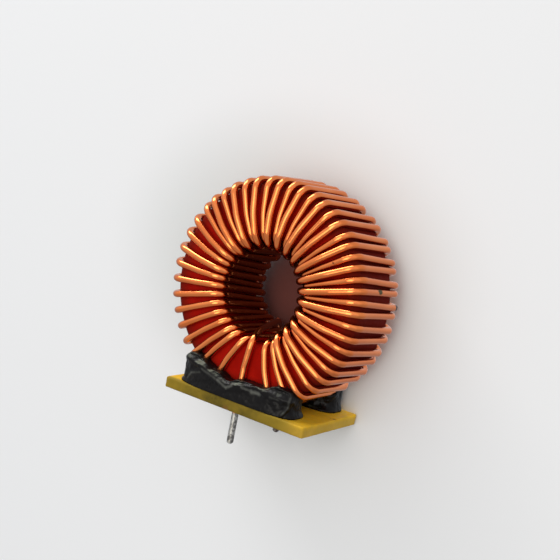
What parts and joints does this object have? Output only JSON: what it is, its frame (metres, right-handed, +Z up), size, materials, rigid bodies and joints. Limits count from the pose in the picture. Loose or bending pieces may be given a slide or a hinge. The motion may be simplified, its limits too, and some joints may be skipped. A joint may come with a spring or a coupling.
{
  "type": "toroidal inductor",
  "caption": "Upright toroidal inductor: a coated ring core wound with enamelled copper wire and glued to a small board, with soldered leads below.",
  "frame": {"origin": "centre of the board's underside", "axes": "+Z up from the board, +Y along the ring's axis towards its rear face, +X along the board's long edge"},
  "size_m": [0.0352, 0.0162, 0.0416],
  "materials": {
    "core_coat": "gloss",
    "enamelled_copper": "gloss",
    "tinned_copper": "satin",
    "board_laminate": "satin",
    "black_glue": "gloss"
  },
  "bodies": {
    "root": {"toroid_core": "core_coat", "front_lead": "tinned_copper", "winding_start": "enamelled_copper", "winding_1": "enamelled_copper", "winding_2": "enamelled_copper", "winding_3": "enamelled_copper", "winding_4": "enamelled_copper", "winding_5": "enamelled_copper", "winding_6": "enamelled_copper", "winding_end": "enamelled_copper", "rear_lead": "tinned_copper", "base_board": "board_laminate", "front_glue_bead": "black_glue", "rear_glue_bead": "black_glue"}
  },
  "joints": []
}
